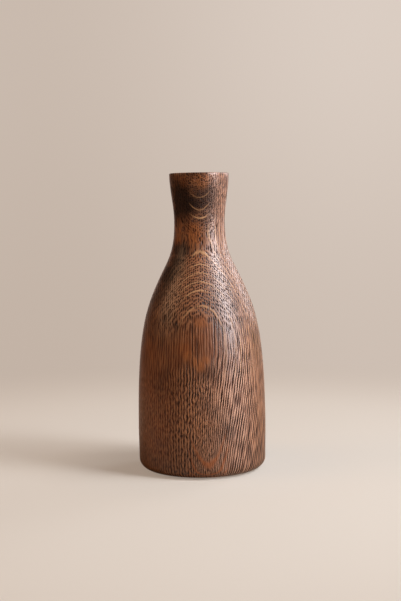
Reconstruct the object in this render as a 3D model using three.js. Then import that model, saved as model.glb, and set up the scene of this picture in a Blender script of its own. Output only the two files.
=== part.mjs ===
// A bottle-shaped flower vase, turned from one blank of dark-stained open-grained wood.
// A glass water tube hangs by its rolled lip in a bore down the middle and lifts out through the mouth.
// Lengths are millimetres, +Z is up, and the origin is the centre of the underside, on the table.

import * as THREE from 'three';

// Glass water tube: a plain round-ended tube with a rolled lip. The body's height makes it 125 long.
const TUBE_DIAMETER = 16;
const TUBE_WALL = 1.1;
const TUBE_LIP_OVERHANG = 1.5;
const TUBE_LIP_HEIGHT = 2.2;
const TUBE_LIP_ROUNDING = 0.5;

// Silicone ring that the lip sits on, so that glass never knocks on wood.
const SEAT_RING_THICKNESS = 1.5;
const SEAT_RING_CLEARANCE = 0.3;
const SEAT_RING_ROUNDING = 0.25;

// Bore for the tube, and the well in the mouth that its lip sits in.
const BORE_CLEARANCE = 0.6;
const WELL_CLEARANCE = 0.9;
const LIP_BELOW_RIM = 2.3;
const TUBE_END_CLEARANCE = 1.7;

// Wood left round the well, round the bore and under it. The mouth is 30 across and the neck 25.6.
const MOUTH_WALL = 4.6;
const NECK_WALL = 4.2;
const WOOD_UNDER_BORE = 19;

// Outside of the wooden body.
const BODY_HEIGHT = 150;
const NECK_BELOW_RIM = 24;
const SHOULDER_DIAMETER = 42;
const SHOULDER_BELOW_RIM = 53.5;
const SHOULDER_SLOPE_DEGREES = 25;
const BELLY_DIAMETER = 65;
const BELLY_HEIGHT = 20;
const FOOT_TUCK = 0.2;

// Rounded edges of the body.
const FOOT_ROUNDING = 5;
const RIM_ROUNDING = 0.5;
const WELL_EDGE_ROUNDING = 2.2;

// How far each curve of the outline keeps its end's direction, as a share of the height that the curve spans.
const RIM_PULL = 0.33;
const NECK_UPPER_PULL = 0.33;
const NECK_LOWER_PULL = 0.54;
const SHOULDER_UPPER_PULL = 0.38;
const SHOULDER_LOWER_PULL = 0.22;
const BELLY_UPPER_PULL = 0.65;
const BELLY_LOWER_PULL = 0.33;

// Felt disc glued into a turned recess in the underside. The vase stands on it.
const FELT_RECESS_DEPTH = 1.5;
const FELT_PROUD = 0.5;
const FELT_CLEARANCE = 0.4;
const FOOT_RING_WIDTH = 3;

// Sides of the turned pieces, and steps along their curves.
const BODY_SEGMENTS = 60;
const TUBE_SEGMENTS = 40;
const FELT_SEGMENTS = 56;
const OUTLINE_STEPS = 11;
const FOOT_STEPS = 6;
const ROUND_END_STEPS = 8;
const EDGE_STEPS = 4;
const SMALL_EDGE_STEPS = 2;

// Places and sizes that pieces share.
const tubeRadius = TUBE_DIAMETER / 2;
const lipRadius = tubeRadius + TUBE_LIP_OVERHANG;
const boreRadius = tubeRadius + BORE_CLEARANCE;
const wellRadius = lipRadius + WELL_CLEARANCE;
const wellDepth = SEAT_RING_THICKNESS + TUBE_LIP_HEIGHT + LIP_BELOW_RIM;
const seatHeight = BODY_HEIGHT - wellDepth;
const feltThickness = FELT_RECESS_DEPTH + FELT_PROUD;
const boreFloorHeight = feltThickness + WOOD_UNDER_BORE;
const footRadius = BELLY_DIAMETER / 2 - FOOT_TUCK;
const recessRadius = footRadius - FOOT_ROUNDING - FOOT_RING_WIDTH;

const wood = new THREE.MeshStandardMaterial({ color: 0x6f4127, roughness: 0.5, metalness: 0 });
const glass = new THREE.MeshStandardMaterial({ color: 0xdde9e6, roughness: 0.05, metalness: 0 });
glass.transparent = true;
glass.opacity = 0.35;
const silicone = new THREE.MeshStandardMaterial({ color: 0xd9d6cd, roughness: 0.6, metalness: 0 });
const felt = new THREE.MeshStandardMaterial({ color: 0x2e2522, roughness: 1, metalness: 0 });

function point(radius, height) {
  return new THREE.Vector2(radius, height);
}

// A stretch of a circle about a centre point, from one angle to another in degrees.
function arc(centre, radius, from, to, steps) {
  const start = THREE.MathUtils.degToRad(from);
  const end = THREE.MathUtils.degToRad(to);
  return new THREE.EllipseCurve(centre.x, centre.y, radius, radius, start, end, end < start).getPoints(steps);
}

// A smooth curve that leaves start along startLean and arrives at end along endLean. The leans are degrees
// outward from straight up, and the pulls are how far the curve keeps to each of them.
function sweep(start, startLean, startPull, end, endLean, endPull, steps) {
  const span = end.y - start.y;
  const handle = (from, lean, length) => {
    const angle = THREE.MathUtils.degToRad(lean);
    return point(from.x + Math.sin(angle) * length, from.y + Math.cos(angle) * length);
  };
  const leave = handle(start, startLean, span * startPull);
  const arrive = handle(end, endLean, -span * endPull);
  return new THREE.CubicBezierCurve(start, leave, arrive, end).getPoints(steps);
}

// Stretches of outline joined end to end, without the points that two of them share.
function outline(...stretches) {
  const apart = 1e-6;
  return stretches.flat().filter((p, i, all) => i === 0 || p.distanceTo(all[i - 1]) > apart);
}

// A solid of revolution about the vertical axis. Its outline starts and ends on the axis, or closes on itself.
function turned(points, segments) {
  return new THREE.LatheGeometry(points, segments).rotateX(Math.PI / 2);
}

function piece(name, geometry, material) {
  const mesh = new THREE.Mesh(geometry, material);
  mesh.name = name;
  return mesh;
}

// The outside from the foot up to the rim: foot, belly, shoulder, neck and flared mouth.
function outsideOutline() {
  const footCentre = point(footRadius - FOOT_ROUNDING, FELT_PROUD + FOOT_ROUNDING);
  const footTop = point(footRadius, footCentre.y);
  const belly = point(BELLY_DIAMETER / 2, BELLY_HEIGHT);
  const shoulder = point(SHOULDER_DIAMETER / 2, BODY_HEIGHT - SHOULDER_BELOW_RIM);
  const neck = point(boreRadius + NECK_WALL, BODY_HEIGHT - NECK_BELOW_RIM);
  const rim = point(wellRadius + MOUTH_WALL, BODY_HEIGHT - RIM_ROUNDING);
  const rimCentre = point(rim.x - RIM_ROUNDING, rim.y);
  const slope = -SHOULDER_SLOPE_DEGREES;
  return outline(
    arc(footCentre, FOOT_ROUNDING, -90, 0, FOOT_STEPS),
    sweep(footTop, 0, BELLY_LOWER_PULL, belly, 0, BELLY_LOWER_PULL, EDGE_STEPS),
    sweep(belly, 0, BELLY_UPPER_PULL, shoulder, slope, SHOULDER_LOWER_PULL, OUTLINE_STEPS),
    sweep(shoulder, slope, SHOULDER_UPPER_PULL, neck, 0, NECK_LOWER_PULL, OUTLINE_STEPS),
    sweep(neck, 0, NECK_UPPER_PULL, rim, 0, RIM_PULL, OUTLINE_STEPS),
    arc(rimCentre, RIM_ROUNDING, 0, 90, SMALL_EDGE_STEPS),
  );
}

// The body has the felt's recess, the bore and the well cut into it. The well's edge is rounded over, but
// never over more than half of the mouth's wall.
function woodenBody() {
  const edge = Math.min(WELL_EDGE_ROUNDING, MOUTH_WALL / 2);
  const edgeCentre = point(wellRadius + edge, BODY_HEIGHT - edge);
  const points = outline(
    [point(0, feltThickness), point(recessRadius, feltThickness), point(recessRadius, FELT_PROUD)],
    outsideOutline(),
    arc(edgeCentre, edge, 90, 180, EDGE_STEPS),
    [point(wellRadius, seatHeight), point(boreRadius, seatHeight)],
    [point(boreRadius, boreFloorHeight), point(0, boreFloorHeight)],
  );
  return piece('wooden_body', turned(points, BODY_SEGMENTS), wood);
}

// The tube hangs by its lip. Heights here are counted from the seat that carries the ring.
function glassTube() {
  const innerRadius = tubeRadius - TUBE_WALL;
  const endCentre = point(0, boreFloorHeight + TUBE_END_CLEARANCE + tubeRadius - seatHeight);
  const lipUnderside = SEAT_RING_THICKNESS;
  const lipTop = lipUnderside + TUBE_LIP_HEIGHT;
  const lipEdge = lipRadius - TUBE_LIP_ROUNDING;
  const lowerEdge = point(lipEdge, lipUnderside + TUBE_LIP_ROUNDING);
  const upperEdge = point(lipEdge, lipTop - TUBE_LIP_ROUNDING);
  const innerEdge = point(innerRadius + TUBE_LIP_ROUNDING, lipTop - TUBE_LIP_ROUNDING);
  const points = outline(
    arc(endCentre, tubeRadius, -90, 0, ROUND_END_STEPS),
    [point(tubeRadius, lipUnderside)],
    arc(lowerEdge, TUBE_LIP_ROUNDING, -90, 0, EDGE_STEPS),
    arc(upperEdge, TUBE_LIP_ROUNDING, 0, 90, EDGE_STEPS),
    arc(innerEdge, TUBE_LIP_ROUNDING, 90, 180, EDGE_STEPS),
    arc(endCentre, innerRadius, 0, -90, ROUND_END_STEPS),
  );
  return piece('glass_tube', turned(points, TUBE_SEGMENTS), glass);
}

// A flat ring with rounded edges, on the step between bore and well.
function seatRing() {
  const r = SEAT_RING_ROUNDING;
  const inner = tubeRadius + SEAT_RING_CLEARANCE + r;
  const outer = wellRadius - SEAT_RING_CLEARANCE - r;
  const lower = r;
  const upper = SEAT_RING_THICKNESS - r;
  const points = outline(
    arc(point(outer, lower), r, -90, 0, SMALL_EDGE_STEPS),
    arc(point(outer, upper), r, 0, 90, SMALL_EDGE_STEPS),
    arc(point(inner, upper), r, 90, 180, SMALL_EDGE_STEPS),
    arc(point(inner, lower), r, 180, 270, SMALL_EDGE_STEPS),
  );
  points.push(points[0].clone());
  return piece('tube_seat_ring', turned(points, TUBE_SEGMENTS), silicone);
}

function baseFelt() {
  const radius = recessRadius - FELT_CLEARANCE;
  const points = [point(0, 0), point(radius, 0), point(radius, feltThickness), point(0, feltThickness)];
  return piece('base_felt', turned(points, FELT_SEGMENTS), felt);
}

// The tube and its ring come out together.
function waterTube() {
  const group = new THREE.Group();
  group.position.z = seatHeight;
  group.add(glassTube(), seatRing());
  return group;
}

const vase = new THREE.Group();
vase.add(woodenBody(), baseFelt(), waterTube());

export default vase;
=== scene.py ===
"""A turned wooden bottle vase with a lift-out glass water tube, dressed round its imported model.

The wood is solid: its growth rings, vessels and stain are worked out from the place inside the blank, so the
figure runs on over the rim and into the bore.

Named lengths are millimetres, in the model's frame: x to the right, y away from the camera and z up. A named
ramp says where a smooth step starts and ends, and then its values before and after it. Where it gives no
values, they are 0 and 1.
"""
import math

import bpy
from mathutils import Matrix, Vector


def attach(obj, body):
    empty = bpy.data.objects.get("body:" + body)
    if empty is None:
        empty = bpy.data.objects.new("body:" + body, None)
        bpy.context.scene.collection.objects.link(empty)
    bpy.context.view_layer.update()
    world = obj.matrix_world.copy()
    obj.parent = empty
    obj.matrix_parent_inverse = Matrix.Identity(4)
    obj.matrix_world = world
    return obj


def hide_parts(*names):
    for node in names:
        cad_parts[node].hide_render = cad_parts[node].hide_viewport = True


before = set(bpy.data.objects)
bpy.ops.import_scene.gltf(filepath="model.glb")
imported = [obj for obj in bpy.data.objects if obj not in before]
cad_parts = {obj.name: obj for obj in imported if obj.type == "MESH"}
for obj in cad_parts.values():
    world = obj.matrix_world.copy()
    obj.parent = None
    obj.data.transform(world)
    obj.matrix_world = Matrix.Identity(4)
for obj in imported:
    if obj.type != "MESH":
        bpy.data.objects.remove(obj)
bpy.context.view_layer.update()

MM = 0.001

# The camera, as fitted to the outline of the vase in the photograph.
CAMERA_DISTANCE = 581
CAMERA_HEIGHT = 134.1
CAMERA_TILT_DEGREES = 4.78
CAMERA_ROLL_DEGREES = 0.745
CAMERA_LENS = 68.6
CAMERA_SENSOR = 36
CAMERA_SEES = (10, 20000)

# Steps of the turned meshes along their outlines and round them, and the step of the wooden body's inside.
BODY_STEP = 0.8
BODY_SIDES = 352
HIDDEN_STEP = 6
TUBE_STEP = 0.8
TUBE_SIDES = 128
SHARP_DEGREES = 60

# How strongly brushing follows the fibres and the hard ring lines. It only ever wears the wood down.
BRUSHED_FIBRES = 0.12
BRUSHED_LINES = 0.05

# The blank that the vase was turned from. Its rings curve round a pith behind the vase and lean as they rise.
PITH_BEHIND = 90
GRAIN_LEAN = 0.13
RING_SPACING = 1.65
OUTWARD_RANGE = (-36, 46)

# How far out the ring lines of the front lie, from the middle of the foot and away from the pith, and the
# slow noises that make all rings wander.
RING_LINES = (29.0, 30.5, 32.0, 33.5, 34.85, 36.9, 38.3)
SWAY_SCALE = 0.03
WOBBLE_SCALE = 0.16
RINGS_WANDER = 0.3

# On the front of the neck the rings lie further out above the first of these heights, and further in above
# the second.
NECK_RINGS_OUT = (113, 122, 0.0, -0.78)
NECK_RINGS_IN = (124.5, 132, 0.0, 1.06)
NECK_RINGS_FRONT = (-6, 2, 1.0, 0.0)

# The lowest ring line of the front dips in a narrow U round this x. The bend is a number, plus one times
# the way aside, plus one times that way squared.
FOOT_FIGURE_X = 2.6
FOOT_FIGURE_REACH = 12
FOOT_FIGURE_BEND = (0.22, 0.0625, -0.0164)
FOOT_FIGURE_BELOW = (26, 36, 1.0, 0.0)

# Vessels, which show as pores. Where the wood is cut across them they make dots, this far apart across the
# blank and outward. Each has its own place in its cell and its own radius, counted in columns.
VESSEL_ACROSS = 1.05
VESSEL_OUTWARD = 0.44
VESSEL_STRAYS = 0.4
VESSEL_FLATNESS = 1.1
VESSEL_RADIUS = 0.17
VESSEL_RADIUS_MORE = 0.18

# On the neck the rows of vessels lean inward as they rise, which keeps its dots short.
NECK_DOTS_ABOVE = 119
NECK_DOTS_LEAN = 0.2

# Where the wood is cut along the vessels, on the belly, they make streaks: a comb of even lines, broken up by
# noise that is long, but short at the lower front.
STREAK_APART = 1.45
STREAK_ACROSS = 0.6
STREAK_LONG = 9
STREAK_SHORT = 2.3
STREAK_COMB = 1.15
STREAK_NOISE = 1.5
STREAK_GAP = 0.17
LOW_FRONT_UP = (44, 56, 1.0, 0.0)
LOW_FRONT_RIGHT = (0, 12, 1.0, 0.0)
BELLY_RADIUS = 32

# The streaks end where the shoulder's dots begin, in a ragged edge that is lower at the sides.
STREAKS_BELOW = (70, 82, 1.0, 0.0)
STREAKS_RAGGED = 12
STREAKS_ARCH = 0.03
STREAKS_ARCH_HEIGHT = 8

# Dots and streaks wiggle, less so up the belly and on the right, and a little more again on the neck.
WIGGLE_ACROSS_SCALE = 0.33
WIGGLE_ALONG_SCALE = 0.24
WIGGLE_UP = (42, 66, 1.0, 0.2)
WIGGLE_RIGHT = (2, 14, 1.0, 0.35)
WIGGLE_NECK = (104, 116, 0.0, 0.3)
DOTS_WIGGLE_ASIDE = 3.0
DOTS_WIGGLE_OUTWARD = 2.5
STREAKS_WIGGLE = 1.6

# On the right of the lower belly the grain leans over to the right as it rises.
LEANING_BELOW = 62
LEANING_RIGHT = (-6, 16, 0.0, 0.2)
LEANING_FRONT = (-24, 28, 1.0, 0.0)
FRONT = (-12, 0, 1.0, 0.0)

# How clearly the ring lines show, by their number, and from the left, where they fade under the dark stain
# and as painted shade, to the right.
LINES_BY_NUMBER = ((0.3, 0.7, 1.0, 0.8), (4.3, 4.7, 1.0, 0.8), (5.4, 5.7, 1.0, 0.0))
LINES_RIGHT = (-18, -5, 0.15, 1.0)

# The neck's lines fade between these ways to either side, which grow with height. They show only on the
# front and below the rim, and between two heights only on the right.
NECK_LINES_UNTIL = (128, 130.5, 2.2, 3.5)
NECK_LINES_END = (128, 130.5, 4.6, 6.0)
NECK_LINES_FRONT = (-6, 0, 1.0, 0.0)
NECK_LINES_RIM = (139, 142, 1.0, 0.1)
NECK_RIGHT_ALONE = (2, 5)
NECK_RIGHT_FROM = (112, 115)
NECK_RIGHT_UP_TO = (121, 126, 1.0, 0.0)

# The neck starts at one height on the left and at another on the right.
NECK_STARTS_ACROSS = (-4, -1)
NECK_STARTS_LEFT = (101, 107)
NECK_STARTS_RIGHT = (112, 120)

# The belly's lines: arches, which reach further down on the right, and the U near the foot.
ARCHES_ACROSS = (2, 6)
ARCHES_MIDDLE = (66, 80, 0.1, 1.0)
ARCHES_RIGHT = (46, 58, 0.1, 0.8)
FOOT_LINE_BELOW = (20, 28, 1.0, 0.0)
FOOT_LINE_NUMBER = (3.3, 3.7, 1.0, 0.1)
FOOT_LINE_FROM = (-10, -4)
FOOT_LINE_TO = (11, 14, 1.0, 0.0)

# A line's width, as a share of a ring. It is uneven, and wider near the foot and for the first line.
LINE_WIDTH = 0.11
LINE_UNEVEN = 0.10
LINE_WIDER_LOW = (16, 26, 0.16, 0.0)
LINE_WIDER_FIRST = (0.3, 0.7, 0.05, 0.0)
PATCHY_SCALE = 0.12

# A few vessels that the cut follows for a long way: x, and the lowest and highest place of each.
LONG_PORES = ((-4.2, 54, 78), (6.4, 54, 80), (8.4, 52, 79), (10.5, 53, 76), (-1.9, 56, 68))
LONG_PORE_WIDTH = 0.34
LONG_PORE_CORE = 0.2
LONG_PORE_FADES = 2
LONG_PORES_FRONT = (-16, -18)
LONG_PORE_GROOVE = 0.6

# Pores, the grooves round them and the ridges between, by the gap to the nearest vessel's edge. The ridges
# rise to their full height at one gap on the shoulder and at another on the belly.
PORE_EDGE = (-0.1, 0.1, 1.0, 0.0)
GROOVE_EDGE = (-0.2, 0.12, 1.0, 0.0)
RIDGE_FROM = 0.06
RIDGE_TO = (0.32, 0.45)

# What closes pores: a ring line, bare wood, and the belly's calm wood, of which there is more on the left
# and at the back.
LINE_CLOSES = 0.85
BARE_CLOSES = (100, 112, 0.75, 0.15)
CALM_LEFT = (-24, -4, 0.6, 0.0)
CALM_BACK = (-10, 6, 0.0, 0.35)
CALM_LEVELS_RIDGES = 0.55

# Noises in the shape of the wood's fibres and of finer hairs: their scales across and along the grain.
FIBRE_SCALES = (0.9, 0.05)
HAIR_SCALES = (2.6, 0.25)

# Patches of the surface, each as the x, y and z of its centre, its reach and its strength. The first are
# dark:
# partly the dark stain that went in, and partly painted shade at the rim's top edge, over the highlight on
# the right shoulder, along the right edge and towards the foot on the right. The wood stayed warm at the
# second.
STAIN_AND_SHADE_PATCHES = (
    (-9, -10, 136, 15, 1.0), (2, -13, 138, 11, 0.85), (5, -12, 131, 9, 0.4), (0, -15, 152, 8, 0.8),
    (-13, -11, 106, 9, 1.0), (-11, -9.5, 112, 9, 0.9), (-15, -11, 101, 12, 0.95), (-20, -12, 92, 10, 0.55),
    (-17, -22, 79, 8, 0.3), (13, -20, 90, 14, 0.25), (23, -9, 87, 8, 0.25), (3, -31, 52, 6, 0.45),
    (15, -26, 70, 12, 0.18), (27.5, -14, 70, 8, 0.75), (29.5, -11, 60, 9, 0.3), (30, -10, 26, 26, 0.25),
    (26, -16, 6, 14, 0.3),
)
WARM_PATCHES = (
    (-7, -11, 119.5, 10, 0.8), (0, -15, 147, 6, 0.75), (-9, -12, 146, 6, 0.5), (-7.3, -29.5, 64, 6, 0.6),
)

# Patches of bare orange wood, where the cut just touches a ring line.
BARE_PATCHES = (
    (0.3, -28, 77, 5, 0.75), (-0.5, -31.3, 56, 4, 0.8), (-3.2, -31.3, 58, 3.5, 0.7),
    (-6.4, -30.9, 61, 3.5, 0.6), (2.4, -31.4, 59, 3.2, 0.6), (-3.5, -12.5, 119, 8, 0.95),
    (-10.5, -8.5, 119, 7, 0.9), (1, -15, 146, 6, 0.5), (-8, -13, 146, 4, 0.3),
)

# Where the cut follows the grain so closely that few pores show, and where the wood stayed clean of grime.
CALM_PATCHES = ((0, -29, 67, 20, 0.85), (-14, -26, 66, 20, 0.7), (-22, -22, 42, 22, 0.6))
CLEAN_PATCHES = ((17, -24, 82, 20, 0.45), (-8, -30, 49, 16, 0.8), (-30, -10, 62, 22, 0.8))

# How far out a patch keeps its full strength, and how ragged its edge is, as shares of its reach.
PATCH_CORE = 0.25
PATCH_RAGGED = 1.3
BARE_RAGGED = 0.5
CALM_RAGGED = 0.8


def rgb(red, green, blue):
    """A colour written as it looks on screen, from 0 to 255, as the shaders' linear values."""
    def linear(c):
        c = c / 255
        return c / 12.92 if c <= 0.04045 else ((c + 0.055) / 1.055) ** 2.4
    return (linear(red), linear(green), linear(blue), 1)


# Building node trees

class Nodes:
    """Adds nodes to a material's or a geometry's tree, so that a formula reads nearly as it is written."""

    def __init__(self, tree):
        self.tree = tree

    def add(self, kind, output=0, settings=None, **inputs):
        node = self.tree.nodes.new(kind)
        for name, value in (settings or {}).items():
            setattr(node, name, value)
        for name, value in inputs.items():
            self.put(node.inputs[name.replace("_", " ")], value)
        return node.outputs[output]

    def put(self, socket, value):
        if isinstance(value, bpy.types.NodeSocket):
            self.tree.links.new(value, socket)
        else:
            socket.default_value = value

    def math(self, operation, *values):
        node = self.tree.nodes.new("ShaderNodeMath")
        node.operation = operation
        for socket, value in zip(node.inputs, values):
            self.put(socket, value)
        return node.outputs[0]

    def chain(self, operation, values):
        result = values[0]
        for value in values[1:]:
            result = self.math(operation, result, value)
        return result

    def total(self, *values):
        return self.chain("ADD", values)

    def product(self, *values):
        return self.chain("MULTIPLY", values)

    def most(self, *values):
        return self.chain("MAXIMUM", values)

    def least(self, *values):
        return self.chain("MINIMUM", values)

    def minus(self, first, second):
        return self.math("SUBTRACT", first, second)

    def rest(self, share):
        """What a share of 1 leaves over."""
        return self.minus(1.0, share)

    def blend(self, factor, first, second):
        """A number between two others."""
        return self.total(first, self.product(factor, self.minus(second, first)))

    def ramp(self, value, low, high, to_low=0.0, to_high=1.0):
        """A smooth step: to_low before low, to_high after high."""
        node = self.tree.nodes.new("ShaderNodeMapRange")
        node.interpolation_type = "SMOOTHSTEP"
        for socket, number in zip(node.inputs, (value, low, high, to_low, to_high)):
            self.put(socket, number)
        return node.outputs[0]

    def split(self, vector):
        node = self.tree.nodes.new("ShaderNodeSeparateXYZ")
        self.put(node.inputs[0], vector)
        return node.outputs

    def join(self, x, y, z):
        return self.add("ShaderNodeCombineXYZ", X=x, Y=y, Z=z)

    def scaled(self, vector, scale):
        return self.add("ShaderNodeVectorMath", settings={"operation": "SCALE"}, Vector=vector, Scale=scale)

    def noise(self, vector, scale, detail=2.0, roughness=0.5):
        """Noise about zero, from -0.5 to 0.5 and mostly within a third of that."""
        value = self.add("ShaderNodeTexNoise", Vector=vector, Scale=scale, Detail=detail, Roughness=roughness)
        return self.minus(value, 0.5)

    def mix(self, factor, first, second, mode="MIX"):
        """A colour between two others, or the first one with the second one laid over it in some mode."""
        node = self.tree.nodes.new("ShaderNodeMix")
        node.data_type = "RGBA"
        node.blend_type = mode
        self.put(node.inputs[0], factor)
        self.put(node.inputs[6], first)
        self.put(node.inputs[7], second)
        return node.outputs[2]


# The wood inside the blank

def grain(nodes, position):
    """The wood at a place in the blank: coordinates along and across the grain and outward through its rows
    of vessels, the ring's number, and the gap to the nearest vessel's edge, which is below 0 inside it."""
    place = nodes.scaled(position, 1 / MM)
    x, y, z = nodes.split(place)
    back = nodes.minus(PITH_BEHIND, y)
    from_pith = nodes.math("SQRT", nodes.total(nodes.product(x, x), nodes.product(back, back)))
    outward = nodes.total(nodes.minus(from_pith, PITH_BEHIND), nodes.product(z, GRAIN_LEAN))
    along = nodes.total(z, nodes.product(y, GRAIN_LEAN))
    front = nodes.ramp(y, *FRONT)

    sway = nodes.noise(place, SWAY_SCALE)
    wobble = nodes.noise(place, WOBBLE_SCALE)
    ring = ring_number(nodes, nodes.total(
        outward,
        nodes.product(sway, RINGS_WANDER),
        nodes.product(wobble, RINGS_WANDER),
        nodes.total(neck_figure(nodes, y, z), foot_figure(nodes, x, z)),
    ))

    aside, inside = wiggle(nodes, x, z, outward, along)
    leaning = nodes.product(
        nodes.most(nodes.minus(LEANING_BELOW, z), 0.0),
        nodes.ramp(y, *LEANING_FRONT),
        nodes.ramp(x, *LEANING_RIGHT),
    )
    across = nodes.total(x, nodes.product(aside, DOTS_WIGGLE_ASIDE), leaning)
    rising = nodes.most(nodes.minus(z, NECK_DOTS_ABOVE), 0.0)
    rows = nodes.total(
        outward,
        nodes.product(inside, DOTS_WIGGLE_OUTWARD),
        nodes.product(rising, NECK_DOTS_LEAN),
    )
    dots = dot_gap(nodes, across, rows)

    angle = nodes.math("ARCTAN2", x, nodes.product(y, -1))
    turned = nodes.total(nodes.product(angle, BELLY_RADIUS), nodes.product(aside, STREAKS_WIGGLE), leaning)
    low_front = nodes.product(front, nodes.ramp(z, *LOW_FRONT_UP), nodes.ramp(x, *LOW_FRONT_RIGHT))
    streaks = streak_gap(nodes, turned, z, low_front)
    arch = nodes.least(nodes.product(x, x, STREAKS_ARCH), STREAKS_ARCH_HEIGHT)
    on_belly = nodes.ramp(nodes.total(z, nodes.product(sway, STREAKS_RAGGED), arch), *STREAKS_BELOW)
    return {
        "place": place, "x": x, "facing": y, "height": z, "front": front,
        "across": across, "rows": rows, "along": along, "ring": ring,
        "on_belly": on_belly, "gap": nodes.blend(on_belly, dots, streaks),
    }


def neck_figure(nodes, y, z):
    """How far inward the rings are pushed on the front of the neck."""
    push = nodes.total(nodes.ramp(z, *NECK_RINGS_OUT), nodes.ramp(z, *NECK_RINGS_IN))
    return nodes.product(push, nodes.ramp(y, *NECK_RINGS_FRONT))


def foot_figure(nodes, x, z):
    """How far inward the rings are pushed about the lowest line's U."""
    aside = nodes.minus(x, FOOT_FIGURE_X)
    aside = nodes.least(nodes.most(aside, -FOOT_FIGURE_REACH), FOOT_FIGURE_REACH)
    number, linear, square = FOOT_FIGURE_BEND
    bend = nodes.total(number, nodes.product(aside, linear), nodes.product(aside, aside, square))
    return nodes.product(bend, nodes.ramp(z, *FOOT_FIGURE_BELOW))


def ring_number(nodes, outward):
    """Growth rings counted outward. The lines seen in the photograph have whole numbers."""
    low, high = OUTWARD_RANGE
    lowest = -(RING_LINES[0] - low) / RING_SPACING
    highest = len(RING_LINES) - 1 + (high - RING_LINES[-1]) / RING_SPACING
    node = nodes.tree.nodes.new("ShaderNodeFloatCurve")
    curve = node.mapping.curves[0]
    curve.points[0].location = (0, 0)
    curve.points[1].location = (1, 1)
    for number, line in enumerate(RING_LINES):
        curve.points.new((line - low) / (high - low), (number - lowest) / (highest - lowest))
    for p in curve.points:
        p.handle_type = "VECTOR"
    node.mapping.update()
    share = nodes.math("DIVIDE", nodes.minus(outward, low), high - low)
    nodes.put(node.inputs["Value"], share)
    return nodes.total(nodes.product(node.outputs[0], highest - lowest), lowest)


def wiggle(nodes, x, z, outward, along):
    """How far the vessels are pushed aside and outward, as numbers about zero."""
    place = nodes.join(
        nodes.product(x, WIGGLE_ACROSS_SCALE),
        nodes.product(outward, WIGGLE_ACROSS_SCALE),
        nodes.product(along, WIGGLE_ALONG_SCALE),
    )
    noise = nodes.split(nodes.add("ShaderNodeTexNoise", output="Color", Vector=place, Scale=1.0, Detail=1.0))
    strength = nodes.product(nodes.ramp(z, *WIGGLE_UP), nodes.ramp(x, *WIGGLE_RIGHT))
    strength = nodes.total(strength, nodes.ramp(z, *WIGGLE_NECK))
    return [nodes.product(nodes.minus(noise[i], 0.5), strength) for i in range(2)]


def dot_gap(nodes, across, rows):
    """The gap to the edge of the nearest vessel that is cut across."""
    column = nodes.product(across, 1 / VESSEL_ACROSS)
    row = nodes.product(rows, 1 / VESSEL_OUTWARD)
    away, own = vessels(nodes, column, row)
    return nodes.minus(away, nodes.total(VESSEL_RADIUS, nodes.product(own, VESSEL_RADIUS_MORE)))


def vessels(nodes, column, row):
    """Vessels one to a cell, in staggered columns: how far away the nearest one is, counted in columns, and a
    number of its own from 0 to 1."""
    line = nodes.math("ROUND", column)
    row = nodes.total(row, nodes.add("ShaderNodeTexWhiteNoise", settings={"noise_dimensions": "1D"}, W=line))
    place = nodes.math("ROUND", row)
    random = nodes.tree.nodes.new("ShaderNodeTexWhiteNoise")
    random.noise_dimensions = "2D"
    nodes.put(random.inputs["Vector"], nodes.join(line, place, 0.0))
    own = nodes.split(random.outputs["Color"])
    strays = [nodes.product(nodes.minus(own[i], 0.5), VESSEL_STRAYS) for i in (1, 2)]
    aside = nodes.minus(nodes.minus(column, line), strays[0])
    onward = nodes.product(nodes.minus(row, nodes.total(place, strays[1])), VESSEL_FLATNESS)
    return nodes.math("SQRT", nodes.total(nodes.product(aside, aside), nodes.product(onward, onward))), own[0]


def streak_gap(nodes, turned, z, low_front):
    """The gap to the edge of the nearest vessel that is cut along. Turned is the way round the belly."""
    comb = nodes.minus(nodes.math("PINGPONG", nodes.product(turned, 1 / STREAK_APART), 0.5), 0.25)
    long_noise = streaky(nodes, turned, z, STREAK_LONG)
    short_noise = streaky(nodes, turned, z, STREAK_SHORT)
    noise = nodes.blend(low_front, long_noise, short_noise)
    return nodes.total(nodes.product(comb, STREAK_COMB), nodes.product(noise, STREAK_NOISE), STREAK_GAP)


def streaky(nodes, turned, z, length):
    """Noise about zero in streaks of that length, up the vase."""
    place = nodes.join(nodes.product(turned, 1 / STREAK_ACROSS), nodes.product(z, 1 / length), 0.0)
    return nodes.noise(place, 1.0, detail=1)


def shown_rings(nodes, marks):
    """How clearly the ring lines show, from 0 to 1."""
    x, height, ring = marks["x"], marks["height"], marks["ring"]
    until = nodes.ramp(height, *NECK_LINES_UNTIL)
    end = nodes.ramp(height, *NECK_LINES_END)
    neck = nodes.ramp(nodes.math("ABSOLUTE", x), until, end, 1.0, 0.0)
    right_alone = nodes.product(nodes.ramp(height, *NECK_RIGHT_FROM), nodes.ramp(height, *NECK_RIGHT_UP_TO))
    neck = nodes.blend(right_alone, neck, nodes.ramp(x, *NECK_RIGHT_ALONE))
    neck = nodes.product(neck, nodes.ramp(marks["facing"], *NECK_LINES_FRONT))
    neck = nodes.least(neck, nodes.ramp(height, *NECK_LINES_RIM))
    on_neck = nodes.blend(
        nodes.ramp(x, *NECK_STARTS_ACROSS),
        nodes.ramp(height, *NECK_STARTS_LEFT),
        nodes.ramp(height, *NECK_STARTS_RIGHT),
    )
    neck = nodes.blend(on_neck, 1.0, neck)
    arches = nodes.blend(
        nodes.ramp(x, *ARCHES_ACROSS),
        nodes.ramp(height, *ARCHES_MIDDLE),
        nodes.ramp(height, *ARCHES_RIGHT),
    )
    foot_line = nodes.product(
        marks["front"],
        nodes.ramp(height, *FOOT_LINE_BELOW),
        nodes.ramp(ring, *FOOT_LINE_NUMBER),
        nodes.ramp(x, *FOOT_LINE_FROM),
        nodes.ramp(x, *FOOT_LINE_TO),
    )
    by_number = [nodes.ramp(ring, *step) for step in LINES_BY_NUMBER]
    # The lines fade on the left, partly under the stain and partly as painted shade.
    return nodes.product(nodes.ramp(x, *LINES_RIGHT), neck, nodes.most(arches, foot_line), *by_number)


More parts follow.
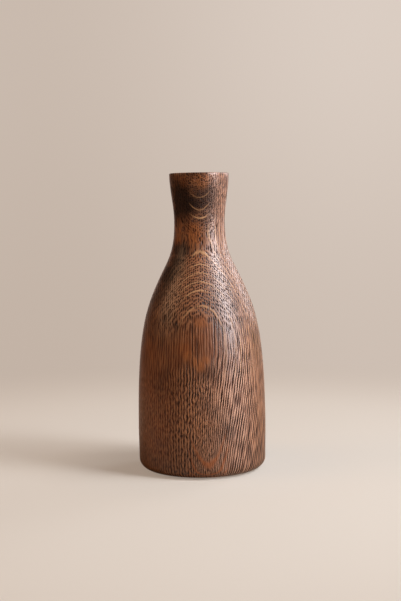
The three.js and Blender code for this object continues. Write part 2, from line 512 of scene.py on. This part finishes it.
def long_pores(nodes, marks):
    """The few long vessels of the front, from 0 to 1."""
    shown = []
    for x, low, high in LONG_PORES:
        aside = nodes.math("ABSOLUTE", nodes.minus(marks["across"], x))
        shown.append(nodes.product(
            nodes.ramp(aside, LONG_PORE_CORE * LONG_PORE_WIDTH, LONG_PORE_WIDTH, 1.0, 0.0),
            nodes.ramp(marks["height"], low - LONG_PORE_FADES, low + LONG_PORE_FADES),
            nodes.ramp(marks["height"], high - LONG_PORE_FADES, high + LONG_PORE_FADES, 1.0, 0.0),
            nodes.ramp(marks["facing"], *LONG_PORES_FRONT),
        ))
    return nodes.most(0.0, *shown)


def patches(nodes, place, ragged, places):
    """Soft patches round some places, from 0 to 1, with edges that are ragged by a share of their reach."""
    shown = []
    for x, y, z, reach, strength in places:
        distance = nodes.tree.nodes.new("ShaderNodeVectorMath")
        distance.operation = "DISTANCE"
        nodes.put(distance.inputs[0], place)
        nodes.put(distance.inputs[1], (x, y, z))
        away = nodes.total(distance.outputs["Value"], nodes.product(ragged, reach))
        shown.append(nodes.ramp(away, PATCH_CORE * reach, reach, strength, 0.0))
    return nodes.most(0.0, *shown)


def strands(nodes, marks, scales, detail, roughness=0.5):
    """Noise about zero that is drawn out along the grain."""
    across_scale, along_scale = scales
    place = nodes.join(
        nodes.product(marks["across"], across_scale),
        nodes.product(marks["rows"], across_scale),
        nodes.product(marks["along"], along_scale),
    )
    return nodes.noise(place, 1.0, detail, roughness)


def wood_marks(nodes, position):
    """The grain at a place, and what shows where the blank is cut there: ring lines, pores with the grooves
    round them and the ridges between, bare and calm wood, each from 0 to 1, and noises about zero."""
    g = grain(nodes, position)
    patchy = nodes.noise(g["place"], PATCHY_SCALE, detail=1)
    line_width = nodes.total(
        LINE_WIDTH,
        nodes.product(patchy, LINE_UNEVEN),
        nodes.ramp(g["height"], *LINE_WIDER_LOW),
        nodes.ramp(g["ring"], *LINE_WIDER_FIRST),
    )
    to_line = nodes.math("PINGPONG", g["ring"], 0.5)
    line = nodes.product(nodes.ramp(to_line, 0.0, line_width, 1.0, 0.0), shown_rings(nodes, g))
    bare = patches(nodes, g["place"], nodes.product(patchy, BARE_RAGGED), BARE_PATCHES)
    calm = nodes.most(
        nodes.ramp(g["x"], *CALM_LEFT),
        nodes.ramp(g["facing"], *CALM_BACK),
        patches(nodes, g["place"], nodes.product(patchy, CALM_RAGGED), CALM_PATCHES),
    )
    calm = nodes.product(g["on_belly"], calm)
    still_open = nodes.product(
        nodes.rest(nodes.product(line, LINE_CLOSES)),
        nodes.rest(nodes.product(bare, nodes.ramp(g["height"], *BARE_CLOSES))),
        nodes.rest(calm),
    )
    long_pore = long_pores(nodes, g)
    pore = nodes.most(nodes.product(nodes.ramp(g["gap"], *PORE_EDGE), still_open), long_pore)
    groove = nodes.product(nodes.ramp(g["gap"], *GROOVE_EDGE), still_open)
    groove = nodes.most(groove, nodes.product(long_pore, LONG_PORE_GROOVE))
    ridge = nodes.ramp(g["gap"], RIDGE_FROM, nodes.blend(g["on_belly"], *RIDGE_TO))
    ridge = nodes.product(ridge, nodes.rest(nodes.product(calm, CALM_LEVELS_RIDGES)))
    g.update({
        "line": line, "pore": pore, "groove": groove, "ridge": ridge,
        "bare": bare, "calm": calm, "patchy": patchy,
        "fibre": strands(nodes, g, FIBRE_SCALES, detail=3, roughness=0.6),
        "hair": strands(nodes, g, HAIR_SCALES, detail=2),
    })
    return g


# Shapes

def turned_outline(node):
    """A turned CAD piece's outline as (radius, height) points in order: its edges in the half plane y = 0."""
    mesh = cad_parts[node].data
    tiny = 1e-6
    places = [tuple(round(c, 7) for c in v.co) for v in mesh.vertices]
    joined = {}
    for polygon in mesh.polygons:
        for a, b in polygon.edge_keys:
            pa, pb = places[a], places[b]
            if pa != pb and all(abs(p[1]) < tiny and p[0] > -tiny for p in (pa, pb)):
                joined.setdefault((pa[0], pa[2]), set()).add((pb[0], pb[2]))
                joined.setdefault((pb[0], pb[2]), set()).add((pa[0], pa[2]))
    ends = sorted(p for p, others in joined.items() if len(others) == 1)
    here = ends[0] if ends else min(joined, key=lambda p: (p[1], p[0]))
    path = [here]
    while True:
        onward = [p for p in joined[here] if p not in path]
        if not onward:
            break
        here = max(onward) if len(path) == 1 else onward[0]
        path.append(here)
    if not ends:
        path.append(path[0])
    return [Vector(p) for p in path]


def corners(points):
    """Where an outline turns too sharply to be part of a curve."""
    sharp = [0]
    for i in range(1, len(points) - 1):
        before, after = points[i] - points[i - 1], points[i + 1] - points[i]
        if before.angle(after) > math.radians(SHARP_DEGREES):
            sharp.append(i)
    return sharp + [len(points) - 1]


def smooth(points, step, hidden_step):
    """The outline with its curves rounded through their points, in steps of at most that length. Its longest
    run is the one that shows, and the others may have longer steps. It stays within the outline's height."""
    result = [points[0]]
    sharp = corners(points)
    runs = [points[first:last + 1] for first, last in zip(sharp, sharp[1:])]
    longest = max(runs, key=len)
    for run in runs:
        length = step if run is longest else hidden_step
        before = 2 * run[0] - run[1]
        after = 2 * run[-1] - run[-2]
        run = [before, *run, after]
        for a, b, c, d in zip(run, run[1:], run[2:], run[3:]):
            count = max(1, math.ceil((c - b).length / length))
            for i in range(1, count + 1):
                result.append(between(a, b, c, d, i / count))
    lowest = min(p.y for p in points)
    highest = max(p.y for p in points)
    for p in result:
        p.y = min(max(p.y, lowest), highest)
    return result


def between(a, b, c, d, t):
    """A point t of the way from b to c, on the curve that runs on to a and d (centripetal Catmull-Rom)."""
    ta = 0
    tb = ta + math.sqrt((b - a).length)
    tc = tb + math.sqrt((c - b).length)
    td = tc + math.sqrt((d - c).length)
    s = tb + (tc - tb) * t
    ab = a * ((tb - s) / (tb - ta)) + b * ((s - ta) / (tb - ta))
    bc = b * ((tc - s) / (tc - tb)) + c * ((s - tb) / (tc - tb))
    cd = c * ((td - s) / (td - tc)) + d * ((s - tc) / (td - tc))
    abc = ab * ((tc - s) / (tc - ta)) + bc * ((s - ta) / (tc - ta))
    bcd = bc * ((td - s) / (td - tb)) + cd * ((s - tb) / (td - tb))
    return abc * ((tc - s) / (tc - tb)) + bcd * ((s - tb) / (tc - tb))


def turn(name, outline, sides):
    """A mesh of an outline turned about the vertical axis. Points on the axis become one vertex each."""
    on_axis = 1e-7
    verts, rows = [], []
    for p in outline:
        if p.x < on_axis:
            rows.append([len(verts)] * sides)
            verts.append((0, 0, p.y))
        else:
            rows.append(list(range(len(verts), len(verts) + sides)))
            for i in range(sides):
                a = 2 * math.pi * i / sides
                verts.append((p.x * math.cos(a), p.x * math.sin(a), p.y))
    faces = []
    for low, high in zip(rows, rows[1:]):
        for i in range(sides):
            j = (i + 1) % sides
            face = dict.fromkeys((low[i], low[j], high[j], high[i]))
            if len(face) > 2:
                faces.append(tuple(face))
    mesh = bpy.data.meshes.new(name)
    mesh.from_pydata(verts, [], faces)
    mesh.polygons.foreach_set("use_smooth", [True] * len(mesh.polygons))
    mesh.update()
    piece = bpy.data.objects.new(name, mesh)
    bpy.context.scene.collection.objects.link(piece)
    return piece


def brush(piece):
    """Wears the soft wood of a piece down between its fibres and hard ring lines, as wire brushing does."""
    tree = bpy.data.node_groups.new("brushed_grain", "GeometryNodeTree")
    tree.interface.new_socket("Geometry", in_out="INPUT", socket_type="NodeSocketGeometry")
    tree.interface.new_socket("Geometry", in_out="OUTPUT", socket_type="NodeSocketGeometry")
    nodes = Nodes(tree)
    start = tree.nodes.new("NodeGroupInput")
    end = tree.nodes.new("NodeGroupOutput")
    marks = wood_marks(nodes, nodes.add("GeometryNodeInputPosition"))
    rise = nodes.total(
        nodes.product(marks["line"], BRUSHED_LINES * MM),
        nodes.product(marks["fibre"], BRUSHED_FIBRES * MM),
    )
    offset = nodes.scaled(nodes.add("GeometryNodeInputNormal"), nodes.least(rise, 0.0))
    moved = nodes.add("GeometryNodeSetPosition", Geometry=start.outputs[0], Offset=offset)
    tree.links.new(moved, end.inputs[0])
    modifier = piece.modifiers.new("brushed_grain", "NODES")
    modifier.node_group = tree
    graph = bpy.context.evaluated_depsgraph_get()
    piece.data = bpy.data.meshes.new_from_object(piece.evaluated_get(graph))
    piece.modifiers.clear()


# Materials

# The wood's colours: its fibres from dark to light, and the ridges that brushing left, from the left to the
# right, where they are paler as painted sheen on the lit side.
COOL_FIBRES = (rgb(60, 26, 8), rgb(136, 72, 31))
COOL_RIDGES = (rgb(206, 140, 96), rgb(218, 165, 135))
WARM_FIBRES = (rgb(84, 36, 13), rgb(156, 78, 28))
WARM_RIDGES = (rgb(210, 132, 70), rgb(218, 158, 118))
BARE_FIBRES = (rgb(104, 50, 20), rgb(206, 124, 66))
# The dark patches' colour, laid over the wood for the stain and for painted shade alike.
STAIN_AND_SHADE = rgb(101, 89, 82)
# The colour of grime, and of the painted shade towards the foot.
GRIME_AND_SHADE = rgb(118, 98, 86)
PORE_COLOUR = rgb(34, 14, 4)
PORE_STRENGTH = 0.94

# The colours of a ring line, near the foot and above it, and how it fades in patches.
LINE_COLOURS = (rgb(164, 84, 30), rgb(224, 168, 118))
LINE_COLOURS_UP = (25, 50)
LINE_PATCHY = (-0.2, 0.1, 0.5, 1.0)

# How light the fibres are: about the middle, more varied on the shoulder, and lighter on calm wood and the
# neck.
FIBRES_MIDDLE = 0.42
FIBRES_SHARE = 0.8
FIBRES_VARIED = (86, 110, 1.0, 2.1)
FIBRES_CALM = (-14, -2, 0.38, 0.16)
FIBRES_NECK = (100, 114, 0.0, 0.14)

# How strong the ridges' colour is, on the shoulder and on the belly, and what the neck and the lower belly
# add to it on the lit right, as painted sheen.
RIDGES_STRENGTH = (0.6, 0.9)
RIDGES_NECK = (108, 118, 0.0, 0.25)
RIDGES_LOW = (48, 62, 0.1, 0.0)
RIDGES_SHEEN_RIGHT = (1, 6)
RIDGES_SHEEN_FADES = (8, 14, 1.0, 0.6)

# Where the ridges take their paler right-hand colour, a painted sheen on the lit side, on the whole vase and
# on the neck.
PAINTED_SHEEN_SIDE = (-8, 18)
PAINTED_SHEEN_EDGE = (20, 31, 1.0, 0.2)
NECK_PAINTED_SHEEN = (0, 8)
NECK_PAINTED_SHEEN_UP = (100, 112, 0.0, 1.4)

# Warm wood and grime also come in broad patches of noise, and painted shade darkens the wood towards the
# foot.
PATCH_RAGGED_SCALE = 0.11
WARM_SCALE = 0.06
WARM_NOISE = (0.0, 0.25, 0.0, 0.4)
GRIME_SCALE = 0.04
GRIME_NOISE = (0.0, 0.2, 0.0, 0.45)
# Painted shade: darker towards the foot, in the grime's colour.
SHADE_AT_FOOT = (2, 26, 0.42, 0.0)

# The gloss and the relief. The clear coat is gone from the grooves, and thinner under the dark patches of
# stain and painted shade.
WOOD_ROUGHNESS = 0.55
PORES_ROUGHER = 0.35
PATCHES_THIN_COAT = 0.6
GROOVE_DEPTH = 0.1
LINE_RISE = 0.03
HAIR_RISE = 0.05

# The fine noises of glass, silicone and felt: their scales to the metre, and where they turn from one look
# to the other.
DRAWN_GLASS_SCALE = 900
DRAWN_GLASS = (-0.2, 0.3)
SILICONE_BLOOM_SCALE = 700
SILICONE_BLOOM = (-0.2, 0.2)
FELT_TUFTS_SCALE = 1400
FELT_TUFTS = (-0.2, 0.2)


def material(name):
    """A new material with its node helper and its shader."""
    made = bpy.data.materials.new(name)
    made.use_nodes = True
    nodes = Nodes(made.node_tree)
    shader = made.node_tree.nodes["Principled BSDF"]
    return made, nodes, shader


def fibre_tone(nodes, m):
    """How light the fibres are, from 0 to 1."""
    varied = nodes.total(nodes.product(m["fibre"], FIBRES_SHARE), m["hair"])
    varied = nodes.product(varied, nodes.ramp(m["height"], *FIBRES_VARIED))
    calm = nodes.product(m["calm"], nodes.ramp(m["x"], *FIBRES_CALM))
    light = nodes.total(FIBRES_MIDDLE, varied, calm, nodes.ramp(m["height"], *FIBRES_NECK))
    return nodes.ramp(light, 0.0, 1.0)


def ridge_share(nodes, m):
    """How much of the ridges' colour shows."""
    # Painted sheen: more of the pale ridges on the lit right of the neck and the lower belly.
    added = nodes.product(
        nodes.total(nodes.ramp(m["height"], *RIDGES_NECK), nodes.ramp(m["height"], *RIDGES_LOW)),
        nodes.ramp(m["x"], *RIDGES_SHEEN_RIGHT),
        nodes.ramp(m["x"], *RIDGES_SHEEN_FADES),
    )
    return nodes.product(m["ridge"], nodes.total(nodes.blend(m["on_belly"], *RIDGES_STRENGTH), added))


def wood_colour(nodes, m, ragged, stain_and_shade):
    """The wood's colour: fibres and ridges, which are warmer in places and paler on the right as painted
    sheen, then the dark patches of stain and painted shade, and grime with painted shade towards the foot,
    over them, and then the bare wood, the ring lines, which fade on the left partly as painted shade, and the
    pores."""
    tone = fibre_tone(nodes, m)
    ridge = ridge_share(nodes, m)
    # Painted sheen: the ridges turn paler on the lit right and on the right of the neck.
    right = nodes.product(nodes.ramp(m["x"], *PAINTED_SHEEN_SIDE), nodes.ramp(m["x"], *PAINTED_SHEEN_EDGE))
    on_neck = nodes.ramp(m["height"], *NECK_PAINTED_SHEEN_UP)
    right = nodes.most(right, nodes.product(nodes.ramp(m["x"], *NECK_PAINTED_SHEEN), on_neck))
    cool = nodes.mix(ridge, nodes.mix(tone, *COOL_FIBRES), nodes.mix(right, *COOL_RIDGES))
    warm = nodes.mix(ridge, nodes.mix(tone, *WARM_FIBRES), nodes.mix(right, *WARM_RIDGES))
    warmth = nodes.ramp(nodes.noise(m["place"], WARM_SCALE, detail=3), *WARM_NOISE)
    warmth = nodes.most(warmth, patches(nodes, m["place"], ragged, WARM_PATCHES))
    colour = nodes.mix(warmth, cool, warm)
    # The dark patches: stain, and in places painted shade.
    colour = nodes.mix(stain_and_shade, colour, STAIN_AND_SHADE, mode="MULTIPLY")
    grime_and_shade = nodes.ramp(nodes.noise(m["place"], GRIME_SCALE, detail=3), *GRIME_NOISE)
    # Painted shade towards the foot, laid on in the grime's colour.
    grime_and_shade = nodes.most(grime_and_shade, nodes.ramp(m["height"], *SHADE_AT_FOOT))
    grime_and_shade = nodes.product(grime_and_shade, nodes.rest(patches(nodes, m["place"], ragged, CLEAN_PATCHES)))
    colour = nodes.mix(grime_and_shade, colour, GRIME_AND_SHADE, mode="MULTIPLY")
    colour = nodes.mix(m["bare"], colour, nodes.mix(tone, *BARE_FIBRES))
    line = nodes.product(m["line"], nodes.ramp(m["patchy"], *LINE_PATCHY))
    colour = nodes.mix(line, colour, nodes.mix(nodes.ramp(m["height"], *LINE_COLOURS_UP), *LINE_COLOURS))
    return nodes.mix(nodes.product(m["pore"], PORE_STRENGTH), colour, PORE_COLOUR)


def wood_material():
    made, nodes, shader = material("stained_wood")
    m = wood_marks(nodes, nodes.add("ShaderNodeTexCoord", output="Object"))
    ragged = nodes.product(nodes.noise(m["place"], PATCH_RAGGED_SCALE, detail=3), PATCH_RAGGED)
    # Where the dark patches lie: stain, and in places painted shade.
    stain_and_shade = patches(nodes, m["place"], ragged, STAIN_AND_SHADE_PATCHES)
    nodes.put(shader.inputs["Base Color"], wood_colour(nodes, m, ragged, stain_and_shade))
    shader.inputs["Specular IOR Level"].default_value = 0.22
    roughness = nodes.total(WOOD_ROUGHNESS, nodes.product(m["pore"], PORES_ROUGHER))
    nodes.put(shader.inputs["Roughness"], roughness)
    coated = nodes.product(nodes.rest(m["groove"]), nodes.rest(nodes.product(stain_and_shade, PATCHES_THIN_COAT)))
    nodes.put(shader.inputs["Coat Weight"], coated)
    shader.inputs["Coat Roughness"].default_value = 0.36
    shader.inputs["Coat IOR"].default_value = 1.68
    height = nodes.total(
        nodes.product(m["groove"], -GROOVE_DEPTH),
        nodes.product(m["line"], LINE_RISE),
        nodes.product(m["hair"], HAIR_RISE),
    )
    bump = nodes.add("ShaderNodeBump", Height=height, Strength=1.0, Distance=MM)
    nodes.put(shader.inputs["Normal"], bump)
    nodes.put(shader.inputs["Coat Normal"], bump)
    return made


def glass_material():
    made, nodes, shader = material("clear_glass")
    shader.inputs["Base Color"].default_value = rgb(240, 248, 246)
    shader.inputs["Transmission Weight"].default_value = 1.0
    shader.inputs["IOR"].default_value = 1.5
    drawn = nodes.noise(nodes.add("ShaderNodeTexCoord", output="Object"), DRAWN_GLASS_SCALE)
    nodes.put(shader.inputs["Roughness"], nodes.ramp(drawn, *DRAWN_GLASS, 0.015, 0.05))
    return made


def silicone_material():
    made, nodes, shader = material("silicone")
    place = nodes.add("ShaderNodeTexCoord", output="Object")
    bloom = nodes.noise(place, SILICONE_BLOOM_SCALE, detail=3)
    colour = nodes.mix(nodes.ramp(bloom, *SILICONE_BLOOM), rgb(206, 203, 196), rgb(222, 220, 214))
    nodes.put(shader.inputs["Base Color"], colour)
    nodes.put(shader.inputs["Roughness"], nodes.ramp(bloom, *SILICONE_BLOOM, 0.45, 0.62))
    shader.inputs["Subsurface Weight"].default_value = 0.2
    shader.inputs["Subsurface Scale"].default_value = 0.5 * MM
    return made


def felt_material():
    made, nodes, shader = material("pressed_felt")
    place = nodes.add("ShaderNodeTexCoord", output="Object")
    tufts = nodes.noise(place, FELT_TUFTS_SCALE, detail=4, roughness=0.7)
    colour = nodes.mix(nodes.ramp(tufts, *FELT_TUFTS), rgb(30, 25, 22), rgb(58, 50, 45))
    nodes.put(shader.inputs["Base Color"], colour)
    shader.inputs["Roughness"].default_value = 0.95
    shader.inputs["Sheen Weight"].default_value = 0.4
    bump = nodes.add("ShaderNodeBump", Height=tufts, Strength=0.8, Distance=0.3 * MM)
    nodes.put(shader.inputs["Normal"], bump)
    return made


# Camera, light and floor

# Soft lamps: name, azimuth and elevation in degrees, width, height, power in watts and colour. Azimuth 0 is
# at the camera, and 90 to its right. Each is this far from the middle of the vase, and aimed at it.
LAMP_DISTANCE = 900
LAMP_AIM_HEIGHT = 75
LAMPS = (
    ("window", 62, 23, 300, 600, 6.9, rgb(248, 249, 255)),
    ("high_window", 73, 45, 400, 350, 4.5, rgb(248, 249, 255)),
    ("back", 132, 20, 300, 450, 1.8, rgb(244, 247, 255)),
    ("fill", -78, 30, 500, 500, 1.75, rgb(255, 204, 158)),
)

# The room's own light: dim, and a little brighter overhead and to the right.
ROOM_COLOUR = rgb(255, 250, 244)
ROOM_DIM = 0.015
ROOM_OVERHEAD = (0.0, 1.0, 0.0, 0.04)
ROOM_RIGHT = (-0.3, 1.0, 0.0, 0.02)

# What the camera sees past the vase: a pale wall of one colour, and the white light on it, which grows to the
# right and upward, and most towards the upper right. The ramps are slopes of the view to the right and up.
# Mirrors see the wall where it lies behind the vase.
WALL_COLOUR = rgb(195, 179, 166)
WALL_LIGHT = rgb(255, 255, 255)
WALL_LIGHT_RIGHT = 0.068
WALL_LIGHT_UP = 0.042
WALL_LIGHT_UPPER_RIGHT = 0.05
WALL_RIGHT = (-0.15, 0.15)
WALL_UP = (-0.15, 0.175)
WALL_BEHIND = (0.75, 1.0)

# The floor, which has one colour for the camera and one for the light that it sends back to the vase. Both
# darken far out.
FLOOR_RADIUS = 4000
FLOOR_SIDES = 96
FLOOR_CLEARANCE = 0.05
FLOOR_COLOUR = rgb(228, 224, 214)
FLOOR_BOUNCE = rgb(174, 156, 132)
FLOOR_LIT = (180, 500, 1.0, 0.12)

# Part of what is seen of the floor is a glow, in this colour near the vase and in the wall's colour far
# out. The glow's share is lower near the vase, so that the floor keeps the vase's shadow.
FLOOR_GLOW = rgb(232, 212, 195)
FLOOR_NEAR = (90, 400, 1.0, 0.0)
FLOOR_GLOW_SHARE = (35, 90, 0.34, 0.5)


def add_camera():
    data = bpy.data.cameras.new("camera")
    data.lens = CAMERA_LENS
    data.sensor_width = CAMERA_SENSOR
    data.clip_start = CAMERA_SEES[0] * MM
    data.clip_end = CAMERA_SEES[1] * MM
    camera = bpy.data.objects.new("camera", data)
    bpy.context.scene.collection.objects.link(camera)
    place = Matrix.Translation((0, -CAMERA_DISTANCE * MM, CAMERA_HEIGHT * MM))
    tilt = Matrix.Rotation(math.radians(90 - CAMERA_TILT_DEGREES), 4, "X")
    roll = Matrix.Rotation(math.radians(-CAMERA_ROLL_DEGREES), 4, "Z")
    camera.matrix_world = place @ tilt @ roll
    bpy.context.scene.camera = camera


def add_lamp(name, azimuth, elevation, width, height, power, colour):
    data = bpy.data.lights.new(name, "AREA")
    data.shape = "RECTANGLE"
    data.size = width * MM
    data.size_y = height * MM
    data.energy = power
    data.color = colour[:3]
    lamp = bpy.data.objects.new(name, data)
    bpy.context.scene.collection.objects.link(lamp)
    a, e = math.radians(azimuth), math.radians(elevation)
    away = Vector((math.sin(a) * math.cos(e), -math.cos(a) * math.cos(e), math.sin(e)))
    lamp.location = Vector((0, 0, LAMP_AIM_HEIGHT * MM)) + away * (LAMP_DISTANCE * MM)
    lamp.rotation_euler = away.to_track_quat("Z", "Y").to_euler()


def wall_colour(nodes, sideways, upward):
    """The wall's colour in a direction, given as slopes to the right and up."""
    right = nodes.ramp(sideways, *WALL_RIGHT)
    up = nodes.ramp(upward, *WALL_UP)
    light = nodes.total(
        nodes.product(right, WALL_LIGHT_RIGHT),
        nodes.product(up, WALL_LIGHT_UP),
        nodes.product(right, up, WALL_LIGHT_UPPER_RIGHT),
    )
    return nodes.mix(light, WALL_COLOUR, WALL_LIGHT, mode="ADD")


def seen_rays(nodes, behind):
    """1 for what the camera sees, straight or through glass, and 0 for the light that falls on things.
    Mirrored rays see it where it lies behind the vase."""
    rays = nodes.tree.nodes.new("ShaderNodeLightPath").outputs
    mirrored = nodes.product(rays["Is Glossy Ray"], nodes.ramp(behind, *WALL_BEHIND))
    return nodes.most(rays["Is Camera Ray"], rays["Is Transmission Ray"], mirrored)


def blend_shaders(nodes, factor, first, second, output):
    mixed = nodes.tree.nodes.new("ShaderNodeMixShader")
    for socket, value in zip(mixed.inputs, (factor, first, second)):
        nodes.put(socket, value)
    nodes.put(output.inputs["Surface"], mixed.outputs[0])


def add_world():
    world = bpy.data.worlds.new("studio")
    world.use_nodes = True
    nodes = Nodes(world.node_tree)
    x, y, z = nodes.split(nodes.add("ShaderNodeTexCoord", output="Generated"))
    strength = nodes.total(ROOM_DIM, nodes.ramp(z, *ROOM_OVERHEAD), nodes.ramp(x, *ROOM_RIGHT))
    room = nodes.add("ShaderNodeBackground", Color=ROOM_COLOUR, Strength=strength)
    wall = nodes.add("ShaderNodeBackground", Color=wall_colour(nodes, x, z), Strength=1.0)
    blend_shaders(nodes, seen_rays(nodes, y), room, wall, world.node_tree.nodes["World Output"])
    bpy.context.scene.world = world


def add_floor():
    """A wide pale floor. Its far part is seen in the wall's colour, so that the two meet without a line."""
    floor = turn("floor", [Vector((0, 0)), Vector((FLOOR_RADIUS * MM, 0))], FLOOR_SIDES)
    floor.location.z = -FLOOR_CLEARANCE * MM
    made, nodes, shader = material("floor")
    place = nodes.scaled(nodes.add("ShaderNodeTexCoord", output="Object"), 1 / MM)
    x, y = nodes.split(place)[:2]
    reach = nodes.add("ShaderNodeVectorMath", output="Value", settings={"operation": "LENGTH"}, Vector=place)
    rays = nodes.tree.nodes.new("ShaderNodeLightPath").outputs
    colour = nodes.mix(rays["Is Camera Ray"], FLOOR_BOUNCE, FLOOR_COLOUR)
    colour = nodes.mix(nodes.ramp(reach, *FLOOR_LIT), rgb(0, 0, 0), colour)
    nodes.put(shader.inputs["Base Color"], colour)
    shader.inputs["Roughness"].default_value = 0.85
    away = nodes.total(reach, CAMERA_DISTANCE)
    wall = wall_colour(nodes, nodes.math("DIVIDE", x, away), nodes.math("DIVIDE", -CAMERA_HEIGHT, away))
    near = nodes.ramp(reach, *FLOOR_NEAR)
    glow = nodes.add("ShaderNodeEmission", Color=nodes.mix(near, wall, FLOOR_GLOW), Strength=1.0)
    share = nodes.blend(near, 1.0, nodes.ramp(reach, *FLOOR_GLOW_SHARE))
    share = nodes.product(share, seen_rays(nodes, nodes.math("DIVIDE", y, reach)))
    blend_shaders(nodes, share, shader.outputs[0], glow, nodes.tree.nodes["Material Output"])
    floor.data.materials.append(made)


# The pieces

def dress(name, node, body, finish):
    """A smooth piece in place of a faceted turned CAD one."""
    piece = turn(name, smooth(turned_outline(node), TUBE_STEP * MM, TUBE_STEP * MM), TUBE_SIDES)
    piece.data.materials.append(finish)
    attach(piece, body)
    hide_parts(node)
    return piece


add_camera()
add_world()
add_floor()
for lamp in LAMPS:
    add_lamp(*lamp)

body_outline = smooth(turned_outline("wooden_body"), BODY_STEP * MM, HIDDEN_STEP * MM)
body = turn("turned_body", body_outline, BODY_SIDES)
brush(body)
body.data.materials.append(wood_material())
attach(body, "vase")
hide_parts("wooden_body")

tube = dress("water_tube", "glass_tube", "tube", glass_material())
ring = dress("seat_ring", "tube_seat_ring", "tube", silicone_material())
felt = dress("felt_foot", "base_felt", "vase", felt_material())

bpy.context.scene.view_settings.view_transform = "Standard"
